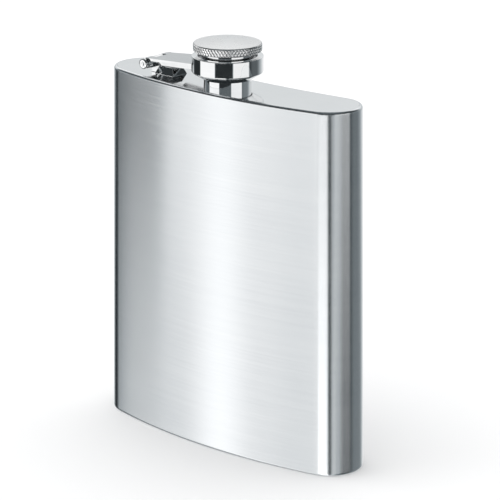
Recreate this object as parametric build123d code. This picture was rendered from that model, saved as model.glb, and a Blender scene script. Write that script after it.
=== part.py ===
from build123d import *
import os
from math import atan2, cos, sin, sqrt

# Hip flask with a captive screw cap on a hinged lever, the cap raised.
# Millimetres, +Z up. Origin: centre of the flask's footprint, on the surface it
# stands on. +X to the right, -Y is the convex front, +Y the concave back.
# Heights of the neck, hinge, lever and cap are above the top plate's upper face.

# ---------------------------------------------------------------- dimensions
WIDTH = 95.0            # overall width of the body
HEIGHT = 106.0          # body height, underside to upper face of the top plate
END_R = 10.0            # radius of the two rounded ends (plan)
FRONT_R = 176.0         # radius of the convex front (plan)
THICK = 21.9            # front to back at the middle
WALL = 0.6              # sheet thickness of the wrapped shell
PLATE = 1.0             # thickness of the top and bottom plates
HEM = 1.0               # thickness of the shell's edges, at the plates
RIM_ROUND = 0.9         # rounding of the shell's top and bottom rims

NECK_Y = -1.2           # neck axis
NECK_R = 7.25           # plain part of the neck
NECK_PLAIN = 3.4        # top of the plain part
NECK_CHAMFER = 0.25
SPIGOT_R = 6.75         # threaded part, over its envelope
SPIGOT_TOP = 7.4        # mouth
SPIGOT_CHAMFER = 0.35   # also the depth of the relief below the thread
RELIEF_H = 0.4
BORE_R = 5.4            # pouring bore
BORE_CHAMFER = 0.3
NECK_FLANGE_R = 9.5     # flange under the top plate
NECK_FLANGE_T = 1.0

PIN_X = -29.7           # hinge pin axis (runs along Y)
PIN_Z = 3.0
PIN_R = 0.8
PIN_END_GAP = 0.08      # between the strap's side and the pin head
PIN_HEAD_R = 1.6
PIN_HEAD_T = 1.3
PIN_GROOVE = 0.25       # depth of the groove around each head
KNUCKLE_R = 1.7
KNUCKLE_BORE_R = 0.87   # running clearance on the pin
MID_R = KNUCKLE_R - 0.1  # bracket's knuckle
MID_HALF = 2.2          # its half width
KNUCKLE_GAP = 0.12      # side clearance between knuckles

BRACKET_HALF = 3.2
BRACKET_X0 = PIN_X + 2.2   # end of the foot, towards the pin
BRACKET_X1 = -19.8         # end of the foot, towards the neck
BRACKET_H = 2.5
BRACKET_DRAFT = 24.0       # slope of its flanks, degrees from upright
WEB_X0 = PIN_X - 0.2       # web that joins knuckle and foot
WEB_X1 = PIN_X + 3.2

ARM_LENGTH = -PIN_X     # pin to neck axis
ARM_HALF_PIN = 5.1      # half width of the strap at the pin
ARM_HALF_END = 7.45     # half width the taper would reach at the neck axis
ARM_T = 0.85            # sheet thickness of the strap
FLANGE_H = 1.7          # depth of its turned-down sides
FLANGE_START = 6.9      # where the sides begin, from the pin
ARM_SLOPE = 4.6         # degrees, rising towards the cap
ARM_SLOT_X1 = PIN_X + 2.15  # end of the slot for the bracket's knuckle

COLLAR_R = 10.92        # cup on the lever that carries the cap
COLLAR_FOOT_Z = 2.4     # lowest edge of its tapered underside
COLLAR_Z0 = 4.55        # lower end of its cylinder
COLLAR_Z1 = 9.3         # its rim
COLLAR_RIM_CHAMFER = 0.2
COLLAR_LIP_R = 9.1      # inward lip over the retaining ring
COLLAR_LIP_T = 0.7
COLLAR_LIP_CHAMFER = 0.12
COLLAR_CAV_R = 10.0
COLLAR_CAV_Z = 5.0      # outer edge of the cavity's sloping floor
COLLAR_HOLE_R = 7.5     # clears the neck
COLLAR_HOLE_Z = 3.55    # inner edge of the cavity's floor
# Lower edge of the collar: (inset from COLLAR_R, height from COLLAR_Z0)
COLLAR_EDGE = ((0.45, -0.4), (0.12, -0.12), (0, 0.2))

RING_Z0 = 8.0           # retaining ring
RING_T = 0.5
RING_IN_R = 7.45
RING_OUT_R = 9.6
RING_GAP = 1.6          # slot of the split ring

TRAVEL = 1.25           # how far the cap screws down from its raised rest
HEAD_R = 10.5           # cap head
HEAD_Z0 = 10.7
HEAD_Z1 = 13.5
HEAD_CHAMFER = 0.3      # lower edge
# Upper edge of the head: (inset from HEAD_R, depth below HEAD_Z1)
HEAD_EDGE = ((0, 0.45), (0.35, 0.12), (0.9, 0))
SOCKET_Z = HEAD_Z0 + 1.5   # top of the socket that takes the sleeve
SLEEVE_R = 8.0          # outside of the threaded sleeve
SLEEVE_Z0 = 7.6         # its lower edge
SLEEVE_BORE_R = 6.85    # inside of the thread envelope
SLEEVE_CHAMFER = 0.15   # outer lower edge
SLEEVE_BORE_CHAMFER = 0.2
GROOVE_R = 7.35         # floor of the retaining ring groove
GROOVE_GAP = 0.06       # clearance above and below the ring
GASKET_R = 6.8
GASKET_CHAMFER = 0.15
GASKET_Z0 = SPIGOT_TOP + TRAVEL + 0.05
GASKET_Z1 = GASKET_Z0 + 1.0

CUT = 1.0               # how far cutting tools run past the material

# ---------------------------------------------------------------- plan geometry
# Before the shift in Y, the centres of both end arcs lie on y = 0.
END_X = WIDTH / 2 - END_R
FRONT_CENTRE = sqrt((FRONT_R - END_R) ** 2 - END_X ** 2)
FRONT_Y = FRONT_CENTRE - FRONT_R                 # middle of the front
BACK_Y = FRONT_Y + THICK                         # middle of the back
BACK_R = (BACK_Y ** 2 + END_X ** 2 - END_R ** 2) / (2 * (END_R - BACK_Y))
BACK_CENTRE = BACK_R + BACK_Y
Y_SHIFT = -(FRONT_Y + END_R) / 2                 # centres the footprint's box
FRONT_ANGLE = atan2(END_X, FRONT_CENTRE)         # directions of the tangent points
BACK_ANGLE = atan2(END_X, BACK_CENTRE)


# ---------------------------------------------------------------- helpers
def profile(inset):
    """Kidney plan as a face, moved inwards by inset."""
    end_r = END_R - inset
    front_x = END_X + end_r * sin(FRONT_ANGLE)
    front_y = Y_SHIFT - end_r * cos(FRONT_ANGLE)
    back_x = END_X - end_r * sin(BACK_ANGLE)
    back_y = Y_SHIFT + end_r * cos(BACK_ANGLE)
    front_right, front_left = (front_x, front_y), (-front_x, front_y)
    back_right, back_left = (back_x, back_y), (-back_x, back_y)
    return make_face(Wire([
        ThreePointArc(front_left, (0, FRONT_Y + inset + Y_SHIFT), front_right),
        ThreePointArc(front_right, (END_X + end_r, Y_SHIFT), back_right),
        ThreePointArc(back_right, (0, BACK_Y - inset + Y_SHIFT), back_left),
        ThreePointArc(back_left, (-END_X - end_r, Y_SHIFT), front_left),
    ]))


def prism(inset, z0, z1):
    """Body plan extruded between two heights above the ground."""
    return extrude(Pos(0, 0, z0) * profile(inset), amount=z1 - z0)


def turned(points):
    """Solid of revolution about the neck axis, points are (radius, height)."""
    section = make_face(Polyline(*[(r, 0, z) for r, z in points], close=True))
    return Pos(0, NECK_Y, HEIGHT) * revolve(section, Axis.Z, 360)


def on_pin(radius, y0, y1):
    """Cylinder on the pin axis, y0 and y1 measured from the neck axis."""
    cylinder = Cylinder(radius, y1 - y0, align=(Align.CENTER, Align.CENTER, Align.MIN))
    return Pos(PIN_X, NECK_Y + y0, HEIGHT + PIN_Z) * Rot(-90, 0, 0) * cylinder


def box(x0, x1, half_width, z0, z1):
    """Box centred on the neck axis in Y."""
    centre = Pos((x0 + x1) / 2, NECK_Y, HEIGHT + (z0 + z1) / 2)
    return centre * Box(x1 - x0, 2 * half_width, z1 - z0)


def save(name, shape):
    solids = shape.solids()
    out = solids[0] if len(solids) == 1 else Compound(children=list(solids))
    out.label = name
    export_step(out, f"parts/{name}.step")


# ---------------------------------------------------------------- flask body
def body_shell():
    """Wrapped wall, thicker at the two plates."""
    outer = prism(0, 0, HEIGHT)
    rims = [e for e in outer.edges() if abs(e.bounding_box().size.Z) < 1e-3]
    outer = fillet(rims, RIM_ROUND)
    return outer - prism(HEM, -CUT, HEIGHT + CUT) - prism(WALL, PLATE, HEIGHT - PLATE)


def top_plate():
    neck_hole = Pos(0, NECK_Y, HEIGHT - PLATE / 2) * Cylinder(NECK_R, PLATE + 2 * CUT)
    return prism(HEM, HEIGHT - PLATE, HEIGHT) - neck_hole


def neck_spout():
    """Flange under the top plate, plain neck, threaded spigot, bore."""
    relief_r = SPIGOT_R - SPIGOT_CHAMFER
    relief_z = NECK_PLAIN + RELIEF_H
    return turned([
        (BORE_R, -PLATE - NECK_FLANGE_T), (NECK_FLANGE_R, -PLATE - NECK_FLANGE_T),
        (NECK_FLANGE_R, -PLATE), (NECK_R, -PLATE),
        (NECK_R, NECK_PLAIN - NECK_CHAMFER), (NECK_R - NECK_CHAMFER, NECK_PLAIN),
        (relief_r, NECK_PLAIN), (relief_r, relief_z),
        (SPIGOT_R, relief_z + SPIGOT_CHAMFER), (SPIGOT_R, SPIGOT_TOP - SPIGOT_CHAMFER),
        (SPIGOT_R - SPIGOT_CHAMFER, SPIGOT_TOP),
        (BORE_R + BORE_CHAMFER, SPIGOT_TOP), (BORE_R, SPIGOT_TOP - BORE_CHAMFER),
    ])


# ---------------------------------------------------------------- hinge
def hinge_bracket():
    """Drafted block on the top plate, web and middle knuckle."""
    foot = Rectangle(BRACKET_X1 - BRACKET_X0, 2 * BRACKET_HALF)
    foot = Pos((BRACKET_X0 + BRACKET_X1) / 2, NECK_Y, HEIGHT) * foot
    bracket = extrude(foot, amount=BRACKET_H, taper=BRACKET_DRAFT)
    bracket += box(WEB_X0, WEB_X1, MID_HALF, 0, PIN_Z)
    bracket += on_pin(MID_R, -MID_HALF, MID_HALF)
    return bracket - on_pin(PIN_R, -MID_HALF - CUT, MID_HALF + CUT)


def hinge_pin():
    """Pin with a head at both ends: two rings with a groove between them."""
    shank = ARM_HALF_PIN + PIN_END_GAP
    pin = on_pin(PIN_R, -shank - PIN_HEAD_T, shank + PIN_HEAD_T)
    # radius, start and end as fractions of the head's thickness
    for radius, start, end in (
        (PIN_HEAD_R, 0, 0.5),
        (PIN_HEAD_R, 0.62, 1),
        (PIN_HEAD_R - PIN_GROOVE, 0.5, 0.62),
    ):
        near = shank + start * PIN_HEAD_T
        far = shank + end * PIN_HEAD_T
        pin += on_pin(radius, -far, -near)
        pin += on_pin(radius, near, far)
    return pin


# ---------------------------------------------------------------- lever
def strap_plan(inset):
    """Tapered plan from the pin to the neck axis, its sides moved in by inset."""
    pin_half = ARM_HALF_PIN - inset
    end_half = ARM_HALF_END - inset
    return make_face(Polyline(
        (0, -pin_half), (ARM_LENGTH, -end_half), (ARM_LENGTH, end_half), (0, pin_half),
        close=True))


def lever_arm():
    """Channel-shaped strap, tilted about the pin, with two knuckles."""
    bottom = KNUCKLE_R - FLANGE_H
    strap = extrude(Pos(0, 0, bottom) * strap_plan(0), amount=FLANGE_H)
    # Hollow the underside, then remove the sides next to the pin.
    low = bottom - CUT
    depth = FLANGE_H - ARM_T + CUT
    strap -= extrude(Pos(0, 0, low) * strap_plan(ARM_T), amount=depth)
    side_cut = Box(FLANGE_START + 2, 40, depth, align=(Align.MIN, Align.CENTER, Align.MIN))
    strap -= Pos(-2, 0, low) * side_cut
    strap = Pos(PIN_X, NECK_Y, HEIGHT + PIN_Z) * Rot(0, -ARM_SLOPE, 0) * strap
    # End the strap on the collar's cylinder.
    strap -= Pos(0, NECK_Y, HEIGHT + 5) * Cylinder(COLLAR_R, 20)
    strap += on_pin(KNUCKLE_R, -ARM_HALF_PIN, ARM_HALF_PIN)
    strap -= box(PIN_X - KNUCKLE_R - CUT, ARM_SLOT_X1, MID_HALF + KNUCKLE_GAP,
                 -CUT, PIN_Z + KNUCKLE_R + CUT)
    return strap - on_pin(KNUCKLE_BORE_R, -ARM_HALF_PIN - CUT, ARM_HALF_PIN + CUT)


def cap_collar():
    """Cup that surrounds the neck and carries the cap."""
    lip_z = COLLAR_Z1 - COLLAR_LIP_T
    return turned([
        (COLLAR_HOLE_R, COLLAR_FOOT_Z),
        *[(COLLAR_R - inset, COLLAR_Z0 + rise) for inset, rise in COLLAR_EDGE],
        (COLLAR_R, COLLAR_Z1 - COLLAR_RIM_CHAMFER), (COLLAR_R - COLLAR_RIM_CHAMFER, COLLAR_Z1),
        (COLLAR_LIP_R + COLLAR_LIP_CHAMFER, COLLAR_Z1),
        (COLLAR_LIP_R, COLLAR_Z1 - COLLAR_LIP_CHAMFER),
        (COLLAR_LIP_R, lip_z), (COLLAR_CAV_R, lip_z),
        (COLLAR_CAV_R, COLLAR_CAV_Z), (COLLAR_HOLE_R, COLLAR_HOLE_Z),
    ])


# ---------------------------------------------------------------- cap
def retaining_ring():
    """Split ring in the sleeve's groove, under the collar's lip, slot towards +X."""
    top = RING_Z0 + RING_T
    ring = turned([
        (RING_IN_R, RING_Z0), (RING_OUT_R, RING_Z0), (RING_OUT_R, top), (RING_IN_R, top)])
    return ring - box(0, RING_OUT_R + CUT, RING_GAP / 2, RING_Z0 - CUT, top + CUT)


def cap_sleeve():
    """Threaded sleeve seated in the head, blind above the gasket."""
    groove_z0 = RING_Z0 - GROOVE_GAP
    groove_z1 = RING_Z0 + RING_T + GROOVE_GAP
    return turned([
        (SLEEVE_BORE_R + SLEEVE_BORE_CHAMFER, SLEEVE_Z0),
        (SLEEVE_R - SLEEVE_CHAMFER, SLEEVE_Z0), (SLEEVE_R, SLEEVE_Z0 + SLEEVE_CHAMFER),
        (SLEEVE_R, groove_z0), (GROOVE_R, groove_z0), (GROOVE_R, groove_z1), (SLEEVE_R, groove_z1),
        (SLEEVE_R, SOCKET_Z), (0, SOCKET_Z), (0, GASKET_Z1), (SLEEVE_BORE_R, GASKET_Z1),
        (SLEEVE_BORE_R, SLEEVE_Z0 + SLEEVE_BORE_CHAMFER),
    ])


def cap_gasket():
    return turned([
        (0, GASKET_Z0), (GASKET_R - GASKET_CHAMFER, GASKET_Z0),
        (GASKET_R, GASKET_Z0 + GASKET_CHAMFER), (GASKET_R, GASKET_Z1), (0, GASKET_Z1),
    ])


def cap_head():
    return turned([
        (SLEEVE_R, HEAD_Z0), (HEAD_R - HEAD_CHAMFER, HEAD_Z0), (HEAD_R, HEAD_Z0 + HEAD_CHAMFER),
        *[(HEAD_R - inset, HEAD_Z1 - drop) for inset, drop in HEAD_EDGE],
        (0, HEAD_Z1), (0, SOCKET_Z), (SLEEVE_R, SOCKET_Z),
    ])


os.makedirs("parts", exist_ok=True)
save("bottom_plate", prism(HEM, 0, PLATE))
for build in (body_shell, top_plate, neck_spout, hinge_bracket, hinge_pin, lever_arm,
              cap_collar, retaining_ring, cap_sleeve, cap_gasket, cap_head):
    save(build.__name__, build())
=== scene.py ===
import math
from math import atan2, cos, pi, radians, sin, sqrt

import bmesh
import bpy
import numpy as np
from mathutils import Matrix, Vector

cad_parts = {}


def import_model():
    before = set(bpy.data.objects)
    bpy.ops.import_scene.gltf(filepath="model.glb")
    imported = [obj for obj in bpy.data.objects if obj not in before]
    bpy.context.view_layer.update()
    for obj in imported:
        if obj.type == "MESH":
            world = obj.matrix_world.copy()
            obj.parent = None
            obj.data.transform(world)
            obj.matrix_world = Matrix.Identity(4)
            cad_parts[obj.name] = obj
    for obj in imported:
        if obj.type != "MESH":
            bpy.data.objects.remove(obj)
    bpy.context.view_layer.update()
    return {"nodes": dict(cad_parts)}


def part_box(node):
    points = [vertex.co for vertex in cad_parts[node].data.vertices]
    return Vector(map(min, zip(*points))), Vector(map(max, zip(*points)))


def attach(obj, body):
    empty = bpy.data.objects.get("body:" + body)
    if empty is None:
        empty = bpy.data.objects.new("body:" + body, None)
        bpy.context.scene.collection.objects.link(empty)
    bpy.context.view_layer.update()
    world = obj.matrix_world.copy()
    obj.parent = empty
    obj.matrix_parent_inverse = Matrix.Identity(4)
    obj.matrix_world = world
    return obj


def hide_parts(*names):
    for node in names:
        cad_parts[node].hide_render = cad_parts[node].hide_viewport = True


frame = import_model()
MM = 0.001
scene = bpy.context.scene

# ------------------------------------------------------------------ sizes (mm)
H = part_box("top_plate")[1].z / MM                       # top plate
_lo, _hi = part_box("neck_spout")
NY = (_lo.y + _hi.y) / 2 / MM                           # neck axis
WIDTH, END_R, FRONT_R, THICK, WALL, HEM, PLATE = 95.0, 10.0, 176.0, 21.9, 0.6, 1.0, 1.0
XE = WIDTH / 2 - END_R
CF = sqrt((FRONT_R - END_R) ** 2 - XE ** 2)
YF = CF - FRONT_R
YB = YF + THICK
BACK_R = (YB ** 2 + XE ** 2 - END_R ** 2) / (2 * (END_R - YB))
CB = BACK_R + YB
YS = -(YF + END_R) / 2
TF, TB = atan2(XE, CF), atan2(XE, CB)
PIN_X, PIN_Z = -29.7, 3.0


# ------------------------------------------------------------------ mesh helpers
def make(name, verts, faces, uvs=None, sharp=32.0, smooth=True):
    me = bpy.data.meshes.new(name)
    me.from_pydata([tuple(c * MM for c in v) for v in verts], [], faces)
    me.validate()
    if uvs is not None:
        layer = me.uv_layers.new(name="wrap")
        for poly in me.polygons:
            for li in poly.loop_indices:
                layer.data[li].uv = uvs[me.loops[li].vertex_index]
    ob = bpy.data.objects.new(name, me)
    scene.collection.objects.link(ob)
    bm = bmesh.new()
    bm.from_mesh(me)
    bmesh.ops.recalc_face_normals(bm, faces=bm.faces)
    bm.to_mesh(me)
    bm.free()
    for p in me.polygons:
        p.use_smooth = smooth
    if smooth:
        me.set_sharp_from_angle(angle=radians(sharp))
    return ob


def rounded(pts, n=5):
    """Closed outline with a fillet at each corner: pts are (x, y, radius)."""
    out, m = [], len(pts)
    for i in range(m):
        x, y, r = pts[i]
        if r <= 0:
            out.append((x, y))
            continue
        p = Vector((x, y))
        a = Vector(pts[i - 1][:2]) - p
        b = Vector(pts[(i + 1) % m][:2]) - p
        ang = a.angle(b)
        d = min(r / math.tan(ang / 2), a.length * 0.49, b.length * 0.49)
        rr = d * math.tan(ang / 2)
        ta, tb = p + a.normalized() * d, p + b.normalized() * d
        c = p + (a.normalized() + b.normalized()).normalized() * (rr / sin(ang / 2))
        va, vb = ta - c, tb - c
        turn = atan2(va.x * vb.y - va.y * vb.x, va.dot(vb))
        for k in range(n + 1):
            t = turn * k / n
            out.append((c.x + va.x * cos(t) - va.y * sin(t), c.y + va.x * sin(t) + va.y * cos(t)))
    return out


def lathe(name, outline, seg=192, centre=(0.0, None), z0=None, shape=None, sharp=32.0, axis="Z"):
    """Solid of revolution from a closed (radius, height) outline. shape(r, z, angle) may change a radius."""
    cx = centre[0]
    cy = NY if centre[1] is None else centre[1]
    z0 = H if z0 is None else z0
    verts, rows, uvs, run = [], [], [], 0.0
    for i, (r, z) in enumerate(outline):
        if i:
            run += math.hypot(r - outline[i - 1][0], z - outline[i - 1][1])
        if r < 1e-6:
            rows.append([len(verts)])
            verts.append((0, 0, z))
            uvs.append((0, run * MM))
            continue
        row = []
        for k in range(seg):
            t = 2 * pi * k / seg
            q = shape(r, z, t) if shape else r
            row.append(len(verts))
            verts.append((q * cos(t), q * sin(t), z))
            uvs.append((t * 8 * MM, run * MM))
        rows.append(row)
    faces = []
    for i in range(len(rows)):
        a, b = rows[i], rows[(i + 1) % len(rows)]
        if len(a) == 1 and len(b) == 1:
            continue
        for k in range(seg):
            j = (k + 1) % seg
            if len(a) == 1:
                faces.append((a[0], b[k], b[j]))
            elif len(b) == 1:
                faces.append((a[k], b[0], a[j]))
            else:
                faces.append((a[k], b[k], b[j], a[j]))
    if axis == "Y":
        verts = [(x + cx, z + cy, -y + z0) for x, y, z in verts]
    else:
        verts = [(x + cx, y + cy, z + z0) for x, y, z in verts]
    return make(name, verts, faces, uvs, sharp)


def evaluated(ob):
    dg = bpy.context.evaluated_depsgraph_get()
    me = bpy.data.meshes.new_from_object(ob.evaluated_get(dg), depsgraph=dg)
    ob.modifiers.clear()
    ob.data = me
    return ob


def cut(ob, *tools):
    for t in tools:
        m = ob.modifiers.new("cut", "BOOLEAN")
        m.operation, m.solver, m.object = "DIFFERENCE", "EXACT", t
        bpy.context.view_layer.update()
        evaluated(ob)
        bpy.data.objects.remove(t)
    return ob


def bevel(ob, width, segments=3, angle=35.0):
    m = ob.modifiers.new("edges", "BEVEL")
    m.width, m.segments, m.limit_method, m.angle_limit = width * MM, segments, "ANGLE", radians(angle)
    m.harden_normals = True
    m.miter_outer = "MITER_ARC"
    m.use_clamp_overlap = True
    return ob


def smoothstep(a, b, x):
    t = min(1.0, max(0.0, (x - a) / (b - a)))
    return t * t * (3 - 2 * t)


# ------------------------------------------------------------------ node helpers
class Tree:
    def __init__(self, nt):
        self.nt = nt
        nt.nodes.clear()

    def node(self, kind, **props):
        n = self.nt.nodes.new(kind)
        for k, v in props.items():
            setattr(n, k, v)
        return n

    def put(self, socket, value):
        if value is None:
            return
        if isinstance(value, bpy.types.NodeSocket):
            self.nt.links.new(value, socket)
        else:
            socket.default_value = value

    def math(self, op, a, b=None, c=None, clamp=False):
        n = self.node("ShaderNodeMath", operation=op, use_clamp=clamp)
        for i, v in enumerate((a, b, c)):
            self.put(n.inputs[i], v)
        return n.outputs[0]

    def vec(self, op, a, b=None, scale=None):
        n = self.node("ShaderNodeVectorMath", operation=op)
        self.put(n.inputs[0], a)
        self.put(n.inputs[1], b)
        if scale is not None:
            self.put(n.inputs["Scale"], scale)
        return n.outputs["Value"] if op in ("LENGTH", "DOT_PRODUCT", "DISTANCE") else n.outputs["Vector"]

    def xyz(self, v):
        n = self.node("ShaderNodeSeparateXYZ")
        self.put(n.inputs[0], v)
        return n.outputs

    def join(self, x, y, z):
        n = self.node("ShaderNodeCombineXYZ")
        for i, v in enumerate((x, y, z)):
            self.put(n.inputs[i], v)
        return n.outputs[0]

    def noise(self, v, scale, detail=3.0, rough=0.55, dims="3D", distortion=0.0):
        n = self.node("ShaderNodeTexNoise", noise_dimensions=dims)
        if v is not None:
            self.put(n.inputs["Vector"], v)
        self.put(n.inputs["Scale"], scale)
        self.put(n.inputs["Detail"], detail)
        self.put(n.inputs["Roughness"], rough)
        self.put(n.inputs["Distortion"], distortion)
        return n.outputs["Fac"]

    def ramp(self, fac, stops, interp="LINEAR"):
        n = self.node("ShaderNodeValToRGB")
        self.put(n.inputs[0], fac)
        e = n.color_ramp.elements
        n.color_ramp.interpolation = interp
        stops = sorted(stops)
        while len(e) < len(stops):
            e.new(1.0)
        while len(e) > len(stops):
            e.remove(e[-1])
        for i, (p, c) in enumerate(stops):
            e[i].position = p
        for i, (p, c) in enumerate(stops):
            e[i].color = (c, c, c, 1) if isinstance(c, (int, float)) else (*c, 1)
        return n.outputs["Color"]

    def map(self, v, a, b, c=0.0, d=1.0, kind="LINEAR"):
        n = self.node("ShaderNodeMapRange", interpolation_type=kind, clamp=True)
        for i, x in enumerate((v, a, b, c, d)):
            self.put(n.inputs[i], x)
        return n.outputs[0]

    def mix(self, fac, a, b, blend="MIX"):
        n = self.node("ShaderNodeMix", data_type="RGBA", blend_type=blend)
        self.put(n.inputs["Factor"], fac)
        ins = [s for s in n.inputs if s.type == "RGBA"]
        for s, v in zip(ins, (a, b)):
            self.put(s, v if isinstance(v, bpy.types.NodeSocket) else (*v, 1) if len(v) == 3 else v)
        return [s for s in n.outputs if s.type == "RGBA"][0]

    def bump(self, height, strength, distance, normal=None):
        n = self.node("ShaderNodeBump")
        self.put(n.inputs["Height"], height)
        self.put(n.inputs["Strength"], strength)
        self.put(n.inputs["Distance"], distance)
        if normal is not None:
            self.put(n.inputs["Normal"], normal)
        return n.outputs[0]


def material(name):
    m = bpy.data.materials.new(name)
    m.use_nodes = True
    t = Tree(m.node_tree)
    out = t.node("ShaderNodeOutputMaterial")
    p = t.node("ShaderNodeBsdfPrincipled")
    t.nt.links.new(p.outputs[0], out.inputs[0])
    return m, t, p


def setup(t, p, **values):
    names = {"color": "Base Color", "metal": "Metallic", "rough": "Roughness", "aniso": "Anisotropic",
             "turn": "Anisotropic Rotation", "normal": "Normal", "tangent": "Tangent", "coat": "Coat Weight",
             "sss": "Subsurface Weight", "spec": "Specular IOR Level"}
    for k, v in values.items():
        s = p.inputs[names[k]]
        if k == "color" and not isinstance(v, bpy.types.NodeSocket):
            v = (*v, 1)
        t.put(s, v)


# ------------------------------------------------------------------ materials
def brushed_shell():
    """Satin stainless sheet: fine streaks along the wrap, slight tone drift, a few handling marks."""
    m, t, p = material("shell_brushed_steel")
    uv = t.node("ShaderNodeUVMap", uv_map="wrap").outputs[0]
    u, v, _ = t.xyz(uv)
    fine = t.noise(t.join(t.math("MULTIPLY", u, 28.0), t.math("MULTIPLY", v, 9000.0), 0.0), 1.0, 4.0, 0.6)
    mid = t.noise(t.join(t.math("MULTIPLY", u, 11.0), t.math("MULTIPLY", v, 2600.0), 3.1), 1.0, 4.0, 0.6)
    broad = t.noise(t.join(t.math("MULTIPLY", u, 5.0), t.math("MULTIPLY", v, 500.0), 7.7), 1.0, 3.0, 0.55)
    cloud = t.noise(t.join(t.math("MULTIPLY", u, 38.0), t.math("MULTIPLY", v, 60.0), 1.3), 1.0, 3.0, 0.5)
    streak = t.math("ADD", t.math("MULTIPLY", fine, 0.45), t.math("ADD", t.math("MULTIPLY", mid, 0.35), t.math("MULTIPLY", broad, 0.20)))
    tone = t.math("ADD", t.math("MULTIPLY", streak, 0.75), t.math("MULTIPLY", cloud, 0.25))
    color = t.ramp(tone, [(0.30, (0.70, 0.72, 0.74)), (0.5, (0.75, 0.77, 0.785)), (0.70, (0.80, 0.815, 0.825))])
    rough = t.map(t.math("ADD", t.math("MULTIPLY", mid, 0.6), t.math("MULTIPLY", cloud, 0.4)), 0.3, 0.7, 0.17, 0.25)
    normal = t.bump(streak, 0.22, 0.00002)
    tangent = t.node("ShaderNodeTangent", direction_type="UV_MAP", uv_map="wrap").outputs[0]
    setup(t, p, color=color, metal=1.0, rough=rough, aniso=0.7, turn=0.25, normal=normal, tangent=tangent)
    return m


def plate_steel():
    """Cold-rolled plate, almost a mirror, with very fine grain along the width."""
    m, t, p = material("plate_satin_mirror_steel")
    pos = t.node("ShaderNodeTexCoord").outputs["Object"]
    x, y, z = t.xyz(pos)
    grain = t.noise(t.join(t.math("MULTIPLY", x, 120.0), t.math("MULTIPLY", y, 6000.0), z), 1.0, 4.0, 0.6)
    cloud = t.noise(pos, 90.0, 3.0, 0.5)
    color = t.ramp(t.math("ADD", t.math("MULTIPLY", grain, 0.5), t.math("MULTIPLY", cloud, 0.5)),
                   [(0.3, (0.77, 0.785, 0.79)), (0.7, (0.83, 0.84, 0.845))])
    rough = t.map(cloud, 0.3, 0.7, 0.045, 0.085)
    setup(t, p, color=color, metal=1.0, rough=rough, normal=t.bump(grain, 0.05, 0.00002))
    return m


def polished(name="polished_steel", tint=(0.84, 0.845, 0.85), low=0.02, high=0.06, lines=0.04):
    """Mirror-polished steel with faint turning lines and buffing haze."""
    m, t, p = material(name)
    pos = t.node("ShaderNodeTexCoord").outputs["Object"]
    x, y, z = t.xyz(pos)
    turning = t.noise(t.join(t.math("MULTIPLY", x, 60.0), t.math("MULTIPLY", y, 60.0), t.math("MULTIPLY", z, 7000.0)), 1.0, 3.0, 0.5)
    haze = t.noise(pos, 260.0, 4.0, 0.6)
    color = t.ramp(t.math("ADD", t.math("MULTIPLY", turning, 0.5), t.math("MULTIPLY", haze, 0.5)),
                   [(0.3, tuple(c * 0.95 for c in tint)), (0.7, tuple(min(1, c * 1.03) for c in tint))])
    rough = t.map(haze, 0.35, 0.7, low, high)
    setup(t, p, color=color, metal=1.0, rough=rough, normal=t.bump(turning, lines, 0.00002))
    return m


def strap_steel():
    """Pressed strap: brushed along its length and rougher on top, polished on its edges; the up-facing top gets a
    darker colour than the edges as a painted shade.
    """
    m, t, p = material("strap_steel")
    pos = t.node("ShaderNodeTexCoord").outputs["Object"]
    x, y, z = t.xyz(pos)
    grain = t.noise(t.join(t.math("MULTIPLY", x, 160.0), t.math("MULTIPLY", y, 5200.0), t.math("MULTIPLY", z, 300.0)), 1.0, 4.0, 0.6)
    cloud = t.noise(pos, 300.0, 3.0, 0.5)
    up = t.math("ABSOLUTE", t.xyz(t.node("ShaderNodeNewGeometry").outputs["Normal"])[2])
    flat = t.map(up, 0.8, 0.97)
    # painted shade: up-facing faces take a darker grain colour (0.60-0.70) than the bright polished edges (0.86)
    color = t.mix(flat, (0.86, 0.865, 0.87), t.ramp(grain, [(0.3, (0.60, 0.605, 0.61)), (0.7, (0.70, 0.705, 0.71))]))
    rough = t.math("ADD", t.math("MULTIPLY", flat, 0.14), t.map(cloud, 0.3, 0.7, 0.05, 0.10))
    setup(t, p, color=color, metal=1.0, rough=rough, normal=t.bump(grain, 0.10, 0.00002))
    return m


def head_steel():
    """Turned head: rings on the top face, brighter knurl tips, and painted shade darkening the knurl grooves."""
    m, t, p = material("cap_head_turned_steel")
    pos = t.node("ShaderNodeTexCoord").outputs["Object"]
    x, y, z = t.xyz(t.vec("SUBTRACT", pos, (0.0, NY * MM, (H + 13.5) * MM)))
    r = t.math("SQRT", t.math("ADD", t.math("MULTIPLY", x, x), t.math("MULTIPLY", y, y)))
    rings = t.noise(t.join(t.math("MULTIPLY", r, 2500.0), 0.0, 0.0), 1.0, 2.0, 0.5)
    cloud = t.noise(pos, 220.0, 3.0, 0.55)
    up = t.math("ABSOLUTE", t.xyz(t.node("ShaderNodeNewGeometry").outputs["Normal"])[2])
    top = t.map(up, 0.75, 0.97)
    knurl_groove_shade = t.map(r, 0.01026, 0.01044, 0.0, 1.0)        # painted shade in the bottoms of the knurl
    # painted shade: the knurl groove bottoms are coloured 0.45 against 0.93 on the tips
    side = t.mix(knurl_groove_shade, (0.45, 0.45, 0.46), (0.93, 0.93, 0.93))
    face = t.ramp(t.math("ADD", t.math("MULTIPLY", rings, 0.6), t.math("MULTIPLY", cloud, 0.4)),
                  [(0.3, (0.80, 0.80, 0.80)), (0.7, (0.86, 0.86, 0.86))])
    color = t.mix(top, side, face)
    rough = t.math("ADD", t.math("MULTIPLY", top, 0.14), t.map(cloud, 0.3, 0.7, 0.12, 0.18))
    tangent = t.node("ShaderNodeTangent", direction_type="RADIAL", axis="Z").outputs[0]
    setup(t, p, color=color, metal=1.0, rough=rough, aniso=t.math("MULTIPLY", top, 0.35), tangent=tangent)
    return m


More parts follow.
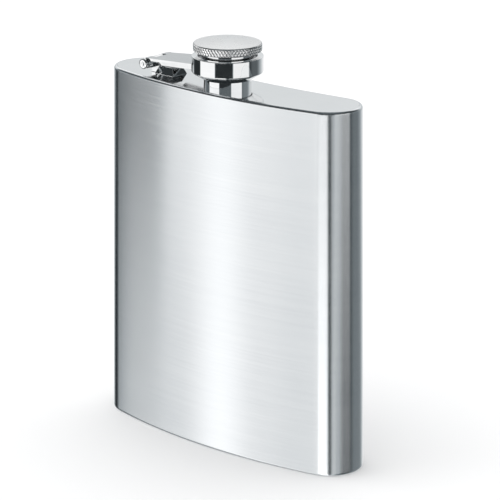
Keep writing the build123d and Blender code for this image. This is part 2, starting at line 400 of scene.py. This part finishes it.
def spring_steel():
    m, t, p = material("spring_steel")
    pos = t.node("ShaderNodeTexCoord").outputs["Object"]
    mott = t.noise(pos, 900.0, 4.0, 0.6)
    setup(t, p, color=t.ramp(mott, [(0.3, (0.36, 0.365, 0.375)), (0.7, (0.50, 0.505, 0.51))]), metal=1.0,
          rough=t.map(mott, 0.3, 0.7, 0.28, 0.42), normal=t.bump(mott, 0.15, 0.00003))
    return m


def silicone():
    m, t, p = material("silicone_seal")
    pos = t.node("ShaderNodeTexCoord").outputs["Object"]
    mott = t.noise(pos, 500.0, 4.0, 0.6)
    setup(t, p, color=t.ramp(mott, [(0.3, (0.76, 0.75, 0.71)), (0.7, (0.84, 0.83, 0.80))]), metal=0.0,
          rough=t.map(mott, 0.3, 0.7, 0.45, 0.62), sss=0.25, normal=t.bump(mott, 0.12, 0.00005))
    p.inputs["Subsurface Radius"].default_value = (0.0012, 0.001, 0.0009)
    return m


M_SHELL, M_PLATE, M_CHROME = brushed_shell(), plate_steel(), polished()
M_STRAP, M_HEAD, M_SPRING, M_SEAL = strap_steel(), head_steel(), spring_steel(), silicone()


def finish_piece(ob, mat, body, slot_name, *nodes):
    w = ob.modifiers.new("normals", "WEIGHTED_NORMAL")
    w.keep_sharp, w.weight = True, 80
    ob.data.materials.clear()
    ob.data.materials.append(mat)
    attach(ob, body)
    if nodes:
        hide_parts(*nodes)
    return ob


# ------------------------------------------------------------------ shell
def plan_points():
    """(centre x, centre y, radius, angle, concave: sign of inset) around the plan, counter-clockwise from the front
    left.
    """
    out = []

    def arc(cx, cy, r, a0, a1, n, concave=False):
        for k in range(n):
            a = a0 + (a1 - a0) * k / n
            out.append((cx, cy, r, a, concave))

    arc(0, CF, FRONT_R, -pi / 2 - TF, -pi / 2 + TF, 120)
    arc(XE, 0, END_R, -pi / 2 + TF, pi / 2 + TB, 120)
    # the back runs from right to left along the concave arc
    arc(0, CB, BACK_R, -pi / 2 + TB, -pi / 2 - TB, 90, True)
    arc(-XE, 0, END_R, pi / 2 - TB, 3 * pi / 2 - TF, 120)
    return out


def build_shell():
    pts = plan_points()
    R = 0.9                                              # rim rounding
    sec = [(HEM, 0.06), (HEM - 0.04, 0.0), (R, 0.0)]
    for k in range(1, 11):
        a = pi / 2 * k / 10
        sec.append((R - R * sin(a), R - R * cos(a)))
    sec += [(0, R + 0.06), (0, R + 0.4)]
    sec += [(0, z) for z in (3, 8, 20, 35, 53, 71, 86, 98, 103)]
    sec += [(0, H - R - 0.4), (0, H - R - 0.06), (0, H - R)]
    for k in range(1, 11):
        a = pi / 2 * k / 10
        sec.append((R - R * cos(a), H - R + R * sin(a)))
    sec += [(HEM - 0.04, H), (HEM, H - 0.06), (HEM, H - PLATE), (WALL, H - PLATE), (WALL, H - 4), (WALL, 4.0), (WALL, PLATE), (HEM, PLATE)]
    verts, uvs, n = [], [], len(pts)
    run, prev = [], None
    total = 0.0
    for cx, cy, r, a, conc in pts:
        p = (cx + r * cos(a), cy + r * sin(a))
        if prev:
            total += math.hypot(p[0] - prev[0], p[1] - prev[1])
        run.append(total)
        prev = p
    for inset, z in sec:
        for i, (cx, cy, r, a, conc) in enumerate(pts):
            q = r + inset if conc else r - inset
            verts.append((cx + q * cos(a), cy + q * sin(a) + YS, z))
            uvs.append((run[i] * MM, z * MM))
    faces = []
    m = len(sec)
    for s in range(m):
        s2 = (s + 1) % m
        for i in range(n):
            j = (i + 1) % n
            faces.append((s * n + i, s * n + j, s2 * n + j, s2 * n + i))
    ob = make("flask_shell", verts, faces, uvs, sharp=40)
    # the last column of faces would run the UVs backwards across the whole wrap, so it is closed properly
    me = ob.data
    lay = me.uv_layers["wrap"]
    full = (total + 1.0) * MM
    for poly in me.polygons:
        us = [lay.data[li].uv[0] for li in poly.loop_indices]
        if max(us) - min(us) > full * 0.5:
            for li in poly.loop_indices:
                if lay.data[li].uv[0] < full * 0.5:
                    lay.data[li].uv[0] += full
    return finish_piece(ob, M_SHELL, "flask", "shell_steel", "body_shell")


build_shell()
for n in ("top_plate", "bottom_plate"):
    o = frame["nodes"][n]
    o.data.materials.clear()
    o.data.materials.append(M_PLATE)

# ------------------------------------------------------------------ neck
PITCH = 1.0


def vee(x, flat=0.14):
    """Thread form over one turn: 1 on the crest, 0 at the root."""
    f = abs((x % 1.0) - 0.5) * 2
    return min(1.0, max(0.0, (f - flat) / (1 - 2 * flat)))


def build_neck():
    top, plain, rs, rn, rb = 7.4, 3.4, 6.75, 7.25, 5.4
    col = [(rn, -1.0), (rn, 0.0), (rn, 1.5), (rn, plain - 0.3)]
    for k in range(1, 7):
        a = pi / 2 * k / 6
        col.append((rn - 0.22 + 0.22 * cos(a), plain - 0.22 + 0.22 * sin(a)))
    col += [(6.5, plain), (6.28, plain + 0.02)]
    zs = [plain + 0.08 + (top - 0.05 - plain - 0.08) * k / 96 for k in range(97)]
    col += [(rs, z) for z in zs]
    col += [(rs - 0.42, top - 0.02), (rs - 0.5, top), (rb + 0.32, top)]
    for k in range(1, 6):
        a = pi / 2 * k / 5
        col.append((rb + 0.3 - 0.3 * sin(a), top - 0.3 + 0.3 * cos(a)))
    col += [(rb, top - 0.6), (rb, 0.0), (rb, -2.0), (9.5, -2.0), (9.5, -1.0)]

    def shape(r, z, th):
        if abs(r - rs) > 1e-6 or not (plain + 0.05 < z < top):
            return r
        fade = smoothstep(plain + 0.15, plain + 0.75, z)
        form = vee(z / PITCH - th / (2 * pi))
        q = 6.25 + (rs - 6.25) * form * fade
        return min(q, rs - max(0.0, z - (top - 0.40)) * 1.1)

    ob = lathe("neck_turned", col, 240, shape=shape, sharp=50)
    return finish_piece(ob, M_CHROME, "flask", "polished_steel", "neck_spout")


build_neck()


# ------------------------------------------------------------------ collar, sleeve, gasket
def build_collar():
    col = rounded([
        (7.5, 2.4, 0.08), (10.60, 4.22, 0.25), (10.92, 4.62, 0.30), (10.92, 9.3, 0.18), (9.1, 9.3, 0.14),
        (9.1, 8.6, 0.05), (10.0, 8.6, 0.05), (10.0, 5.0, 0.3), (7.5, 3.55, 0.08)], 6)
    ob = lathe("collar_cup", col, 256, sharp=28)
    return finish_piece(ob, M_CHROME, "lever", "polished_steel", "cap_collar")


build_collar()


def build_sleeve():
    z0, g0, g1, gz, sock, bore, r = 7.6, 7.94, 8.56, 9.7, 12.2, 6.85, 8.0
    col = [(bore + 0.45, z0), (r - 0.15, z0), (r - 0.04, z0 + 0.05), (r, z0 + 0.15), (r, g0), (7.35, g0), (7.35, g1), (r, g1),
           (r, 9.3), (r, sock), (0.0, sock), (0.0, gz), (bore, gz)]
    zs = [gz - 0.02 - (gz - z0 - 0.04) * k / 50 for k in range(51)]
    inner = [(bore, z) for z in zs]
    col += inner

    def shape(q, z, th):
        if abs(q - bore) > 1e-6 or z >= gz - 0.01:
            return q
        d = 0.42 * (1 - vee(z / PITCH - th / (2 * pi) + 0.35)) * smoothstep(gz - 0.15, gz - 0.6, z)
        d = max(d, max(0.0, (z0 + 0.25) - z) * 1.6)
        return q + min(d, 0.45)

    ob = lathe("cap_threaded_sleeve", col, 200, shape=shape, sharp=50)
    return finish_piece(ob, M_CHROME, "cap", "polished_steel", "cap_sleeve")


build_sleeve()
# a moulded sealing lip under the rim
gk = [(0, 8.82), (4.6, 8.82), (4.95, 8.80), (5.2, 8.72), (5.5, 8.70), (6.3, 8.70), (6.6, 8.74), (6.76, 8.86), (6.78, 9.0),
      (6.78, 9.55), (6.72, 9.66), (6.6, 9.69), (0, 9.69)]
finish_piece(lathe("cap_seal_disc", gk, 128, sharp=60), M_SEAL, "cap", "seal_rubber", "cap_gasket")
o = frame["nodes"]["retaining_ring"]
o.data.materials.clear()
o.data.materials.append(M_SPRING)


# ------------------------------------------------------------------ head with a real knurl
def build_head():
    R, z0, z1, N = 10.5, 10.7, 13.5, 64
    depth, pz = 0.24, 1.5

    def env(z):
        lo = R - 0.30 + (z - z0)
        hi = R - (z - (z1 - 0.62)) * 1.0
        return min(R, lo, hi)

    seg = N * 12
    bottom = [(8.0, z0), (9.2, z0), (R - 0.36, z0)]
    zs = [z0 + 0.04 + (z1 - 0.34 - z0 - 0.04) * k / 52 for k in range(53)]
    side = [(-1.0, z) for z in zs]
    top = []
    re, zt = R - 0.36, z1 - 0.32
    # rounded shoulder, a fine turned step, then a shallow dome
    top += [(re, zt + 0.01), (re - 0.07, zt + 0.045), (re - 0.16, zt + 0.06), (re - 0.30, zt + 0.055), (re - 0.36, zt + 0.03)]
    rd = re - 0.42
    for k in range(0, 15):
        r = rd * (1 - k / 15)
        top.append((r, zt + 0.03 + 0.29 * (1 - (r / rd) ** 2)))
    top.append((0.0, zt + 0.32))
    inner = [(0.0, 12.2), (8.0, 12.2)]
    col = bottom + side + top + inner
    cxx, verts, rows, uvs = 0, [], [], []
    for r, z in col:
        if r == 0.0:
            rows.append([len(verts)])
            verts.append((0, NY, z + H))
            continue
        row = []
        for k in range(seg):
            t = 2 * pi * k / seg
            q = r
            if r < 0:
                a1 = N * t / (2 * pi) + (z - z0) / pz
                a2 = N * t / (2 * pi) - (z - z0) / pz
                g = 0.0
                for a, cutter in ((a1, 1.0), (a2, 0.6)):
                    s = abs(2 * (a % 1.0) - 1)
                    g = max(g, cutter * (s - 0.55) / 0.45)
                q = min(env(z), R - depth * max(0.0, g))
            row.append(len(verts))
            verts.append((q * cos(t), q * sin(t) + NY, z + H))
        rows.append(row)
    faces = []
    for i in range(len(rows)):
        a, b = rows[i], rows[(i + 1) % len(rows)]
        if len(a) == 1 and len(b) == 1:
            continue
        for k in range(seg):
            j = (k + 1) % seg
            if len(a) == 1:
                faces.append((a[0], b[k], b[j]))
            elif len(b) == 1:
                faces.append((a[k], b[0], a[j]))
            else:
                faces.append((a[k], b[k], b[j], a[j]))
    ob = make("cap_knurled_head", verts, faces, None, sharp=24)
    return finish_piece(ob, M_HEAD, "cap", "cap_steel", "cap_head")


build_head()


# ------------------------------------------------------------------ lever strap
def build_strap():
    R, t, fh, fs = 1.7, 0.85, 1.7, 6.6
    slope = radians(4.6)
    hw0, hw1, L = 5.1, 6.6 + 0.85, 29.7

    def half(x):
        return hw0 + (hw1 - hw0) * max(0.0, x) / L

    def world(x, y, z):
        return (PIN_X + x * cos(slope) - z * sin(slope), NY + y, H + PIN_Z + x * sin(slope) + z * cos(slope))

    def end_x(y, z):
        """Local x where a line at this y and z meets the collar's cylinder."""
        X = -sqrt(max(0.0, 10.92 ** 2 - y * y))
        return (X - PIN_X + z * sin(slope)) / cos(slope)

    verts, faces = [], []

    def add(x, y, z):
        verts.append(world(x, y, z))
        return len(verts) - 1

    # curl outline at both sides, in local x and z
    arc = [(R * cos(a), R * sin(a)) for a in [radians(90 + 300 * k / 40) for k in range(41)]]
    x1 = 2.2
    sides = []
    for sgn in (-1, 1):
        c = [add(x, sgn * hw0, z) for x, z in arc]
        # sheet stations
        tx = add(x1, sgn * half(x1), R)
        bx = add(x1, sgn * half(x1), R - t)
        # where the flange begins
        f1 = add(fs, sgn * half(fs), R - t)
        f2 = add(fs + 0.9, sgn * half(fs + 0.9), R - fh)
        i1 = add(fs, sgn * (half(fs) - t), R - t)
        i2 = add(fs + 0.9, sgn * (half(fs + 0.9) - t), R - fh)
        i3 = add(fs + 0.9, sgn * (half(fs + 0.9) - t), R - t)

        def edge_end(off, z):
            """Iterates to where the side, moved in by off, meets the collar."""
            x = 20.0
            for _ in range(20):
                x = end_x(half(x) - off, z)
            return add(x, sgn * (half(x) - off), z)

        e_top, e_bot = edge_end(0, R), edge_end(0, R - fh)
        e_inb, e_int = edge_end(t, R - fh), edge_end(t, R - t)
        sides.append(dict(c=c, tx=tx, bx=bx, f1=f1, f2=f2, i1=i1, i2=i2, i3=i3, et=e_top, eb=e_bot, ib=e_inb, it=e_int))
        faces.append(tuple(c + [bx, tx]))                       # curl end
        faces.append((tx, e_top, e_bot, f2, f1, bx))            # outer side
        faces.append((f1, f2, i2, i1))
        faces.append((f2, e_bot, e_inb, i2))                    # under the flange
        faces.append((i1, i2, i3))
        faces.append((i2, e_inb, e_int, i3))                    # inside of the flange
        faces.append((e_top, e_bot, e_inb, e_int))              # placeholder, replaced below
    l, r = sides
    drop = [6, 13]
    faces = [f for i, f in enumerate(faces) if i not in drop]
    # cross rows at the collar end
    n = 14
    yt = half(20.0)
    def row(z, a, b):
        ya, yb = (verts[a][1] - NY), (verts[b][1] - NY)
        out = [a]
        for k in range(1, n):
            y = ya + (yb - ya) * k / n
            out.append(add(end_x(y, z), y, z))
        out.append(b)
        return out
    rt = row(R, l["et"], r["et"])
    rb = row(R - t, l["it"], r["it"])
    # curl surface
    for k in range(40):
        faces.append((l["c"][k], l["c"][k + 1], r["c"][k + 1], r["c"][k]))
    faces.append((l["c"][40], l["bx"], r["bx"], r["c"][40]))            # underside next to the curl
    faces.append((l["c"][0], r["c"][0], r["tx"], l["tx"]))              # top next to the curl
    faces.append(tuple([l["tx"], r["tx"]] + rt[::-1]))                  # top face
    faces.append((l["bx"], l["f1"], l["i1"], r["i1"], r["f1"], r["bx"]))
    faces.append((l["i1"], l["i3"], r["i3"], r["i1"]))
    faces.append(tuple([l["i3"]] + rb + [r["i3"]]))
    # end wall: flange ends and the sheet's end
    faces.append((l["et"], l["eb"], l["ib"], l["it"]))
    faces.append((r["et"], r["eb"], r["ib"], r["it"]))
    faces.append(tuple(rt + rb[::-1]))
    ob = make("lever_strap", verts, faces, None, smooth=False)
    lo, hi = NY - 2.32, NY + 2.32
    slot = bpy.data.objects.new("slot", bpy.data.meshes.new("slot"))
    scene.collection.objects.link(slot)
    bm = bmesh.new()
    bmesh.ops.create_cube(bm, size=1.0)
    for v in bm.verts:
        v.co = Vector(((PIN_X - 4 + (v.co.x + 0.5) * 6.15) * MM, (lo + (v.co.y + 0.5) * (hi - lo)) * MM,
                       (H - 1 + (v.co.z + 0.5) * 9) * MM))
    bm.to_mesh(slot.data)
    bm.free()
    bore = lathe("bore", [(0, -8), (0.87, -8), (0.87, 8), (0, 8)], 48, centre=(PIN_X, NY), z0=H + PIN_Z, axis="Y")
    cut(ob, slot, bore)
    me = ob.data
    for p in me.polygons:
        p.use_smooth = True
    me.set_sharp_from_angle(angle=radians(30))
    bevel(ob, 0.10, 3, 40)
    return finish_piece(ob, M_STRAP, "lever", "polished_steel", "lever_arm")


build_strap()


# ------------------------------------------------------------------ hinge bracket and pin
def from_node(node, name, width):
    """A clean copy of a CAD node's solid, welded, flattened and with its edges rounded."""
    src = frame["nodes"][node]
    me = src.data.copy()
    me.name = name
    ob = bpy.data.objects.new(name, me)
    scene.collection.objects.link(ob)
    bm = bmesh.new()
    bm.from_mesh(me)
    bmesh.ops.remove_doubles(bm, verts=bm.verts, dist=2e-6)
    bmesh.ops.dissolve_limit(bm, angle_limit=radians(2), verts=bm.verts, edges=bm.edges)
    bmesh.ops.recalc_face_normals(bm, faces=bm.faces)
    bm.to_mesh(me)
    bm.free()
    if me.has_custom_normals:
        with bpy.context.temp_override(active_object=ob, object=ob, selected_objects=[ob]):
            bpy.ops.mesh.customdata_custom_splitnormals_clear()
    for p in me.polygons:
        p.use_smooth = True
    me.set_sharp_from_angle(angle=radians(30))
    return bevel(ob, width, 3, 35)


finish_piece(from_node("hinge_bracket", "hinge_bracket_pressed", 0.12), M_CHROME, "flask", "polished_steel", "hinge_bracket")


def build_pin():
    a = 5.1 + 0.08
    t = 1.3
    R = 1.6
    half = [(0.0, a + t - 0.16), (0.42, a + t - 0.15), (0.62, a + t - 0.04), (0.8, a + t), (1.05, a + t), (1.25, a + t - 0.04), (1.48, a + t - 0.14), (R - 0.02, a + t - 0.28), (R, a + t - 0.36),
            (R, a + 0.62 * t + 0.03), (R - 0.05, a + 0.62 * t), (R - 0.25, a + 0.62 * t), (R - 0.25, a + 0.5 * t),
            (R - 0.05, a + 0.5 * t), (R, a + 0.5 * t - 0.03), (R, a + 0.05), (R - 0.05, a), (0.8, a)]
    col = half + [(r, -z) for r, z in reversed(half)]
    ob = lathe("hinge_pin_riveted", col, 72, centre=(PIN_X, NY), z0=H + PIN_Z, axis="Y", sharp=40)
    return finish_piece(ob, M_CHROME, "flask", "polished_steel", "hinge_pin")


build_pin()

# ------------------------------------------------------------------ floor, light, studio
CAM = Vector((609.18, -662.86, 322.46)) * MM
CAM_TURN, LENS, SHIFT = 0.7366, 214.43, -1.7622
CAM_AZ = atan2(CAM.y - NY * MM, CAM.x)

fm = bpy.data.meshes.new("floor")
fm.from_pydata([(-30, -30, 0), (30, -30, 0), (30, 30, 0), (-30, 30, 0)], [], [(0, 1, 2, 3)])
floor = bpy.data.objects.new("floor", fm)
scene.collection.objects.link(floor)
floor.location.z = -0.00002
m, t, p = material("floor_white")
pos = t.node("ShaderNodeTexCoord").outputs["Object"]
setup(t, p, color=t.ramp(t.noise(pos, 3.0, 2.0), [(0.3, (0.955, 0.957, 0.96)), (0.7, (0.965, 0.967, 0.97))]), rough=0.9, spec=0.1)
fm.materials.append(m)
floor.visible_glossy = False


def window(t, a, centre, half, edge):
    """1 inside centre +/- half degrees of azimuth, fading to 0 over edge degrees."""
    d = t.math("ABSOLUTE", t.math("WRAP", t.math("SUBTRACT", a, centre), 180.0, -180.0))
    return t.map(d, half + edge, half, 0.0, 1.0, "SMOOTHSTEP")


def soft_boxes(t, a, fill, boxes, flags=()):
    """Even fill plus soft boxes (azimuth, half width, soft edge, strength), less flags (azimuth, half width, soft edge, share held back)."""
    total = fill
    for centre, half, edge, strength in boxes:
        total = t.math("ADD", total, t.math("MULTIPLY", window(t, a, centre, half, edge), strength))
    for centre, half, edge, share in flags:
        total = t.math("MULTIPLY", total, t.math("SUBTRACT", 1.0, t.math("MULTIPLY", window(t, a, centre, half, edge), share)))
    return total


# A plain studio, the same for every piece. Azimuths are in degrees from the camera, counter-clockwise from above.
world = bpy.data.worlds.new("studio")
scene.world = world
world.use_nodes = True
t = Tree(world.node_tree)
out = t.node("ShaderNodeOutputWorld")
x, y, z = t.xyz(t.node("ShaderNodeTexCoord").outputs["Generated"])
a = t.math("MULTIPLY", t.math("SUBTRACT", t.math("ARCTAN2", y, x), CAM_AZ), 180 / pi)
el = t.math("MULTIPLY", t.math("ARCSINE", z), 180 / pi)
# broad soft boxes low down: key on the left, fills in front and on the right, one behind, and the camera's own dark stand
broad = soft_boxes(t, a, 0.06, [(-72, 4, 18, 0.9), (-100, 16, 12, 0.8), (-30, 20, 16, 0.9), (-24, 14, 5, 0.8), (12, 4, 6, 0.4), (22, 4, 25, 0.4), (115, 20, 25, 0.2), (175, 12, 35, 0.9)],
                   [(0, 3, 4, 0.85), (-130, 15, 5, 0.6)])
# tall upright boxes with black between them
upright = soft_boxes(t, a, 0.03, [(-69, 26, 4, 1.1), (45, 25, 5, 1.0), (170, 15, 50, 0.9), (105, 15, 20, 0.1)])
# behind the flask a pale wall that brightens upwards; the camera's side and the ceiling are dark
behind = window(t, a, 180, 35, 25)
wall = t.math("MULTIPLY", t.map(el, 0.0, 30.0, 0.5, 1.1), t.map(el, 55.0, 40.0, 0.0, 1.0, "SMOOTHSTEP"))
front = t.math("MULTIPLY", t.math("ADD", upright, 0.1), t.map(el, 18.0, 16.5))
high = t.math("ADD", t.math("ADD", t.math("MULTIPLY", wall, behind), t.math("MULTIPLY", front, t.math("SUBTRACT", 1.0, behind))), t.map(el, 50.0, 65.0, 0.04, 0.18))
band = t.math("MULTIPLY", t.map(el, -15.6, -14.4, kind="SMOOTHSTEP"), t.map(el, -7.0, -10.0, kind="SMOOTHSTEP"))
low = t.math("ADD", t.math("MULTIPLY", broad, t.math("SUBTRACT", 1.0, band)), t.math("MULTIPLY", upright, band))
level = t.math("ADD", t.math("MULTIPLY", low, t.map(el, 3.0, -3.0)), t.math("MULTIPLY", high, t.map(el, -3.0, 3.0)))
shiny = t.node("ShaderNodeBackground")
t.put(shiny.inputs[0], t.mix(t.map(level, 0.0, 1.0), (0.84, 0.98, 1.05), (1.0, 1.0, 1.0)))
t.put(shiny.inputs[1], level)
plain = t.node("ShaderNodeBackground")
t.put(plain.inputs[0], (1.0, 1.0, 1.0, 1))
t.put(plain.inputs[1], 1.05)
lp = t.node("ShaderNodeLightPath")
mixer = t.node("ShaderNodeMixShader")
t.put(mixer.inputs[0], lp.outputs["Is Glossy Ray"])
t.nt.links.new(plain.outputs[0], mixer.inputs[1])
t.nt.links.new(shiny.outputs[0], mixer.inputs[2])
t.nt.links.new(mixer.outputs[0], out.inputs[0])
world.cycles.sampling_method = "NONE"

sun = bpy.data.lights.new("soft_key", "AREA")
sun.shape, sun.size, sun.energy = "DISK", 1.2, 5.0
so = bpy.data.objects.new("soft_key", sun)
scene.collection.objects.link(so)
so.location = (-0.7, -0.5, 1.6)
so.rotation_euler = (Vector((0, 0, 0.05)) - Vector(so.location)).to_track_quat("-Z", "Y").to_euler()
so.visible_glossy = False

cam_data = bpy.data.cameras.new("camera")
cam = bpy.data.objects.new("camera", cam_data)
scene.collection.objects.link(cam)
cam.location = CAM
cam.rotation_euler = (pi / 2, 0, CAM_TURN)
cam_data.sensor_width = 36.0
cam_data.lens = LENS
cam_data.clip_start, cam_data.clip_end = 0.05, 20.0
scene.camera = cam
# The lens shift keeps the verticals upright from the camera's own place. It goes to zero when the camera is moved for another view.
drv = cam_data.driver_add("shift_y").driver
drv.type = "SCRIPTED"
v = drv.variables.new()
v.name, v.type = "x", "TRANSFORMS"
v.targets[0].id = cam
v.targets[0].transform_type = "LOC_X"
v.targets[0].transform_space = "WORLD_SPACE"
drv.expression = f"{SHIFT} if abs(x - {CAM.x:.5f}) < 0.0005 else 0.0"
scene.view_settings.view_transform = "Standard"

bpy.context.view_layer.update()
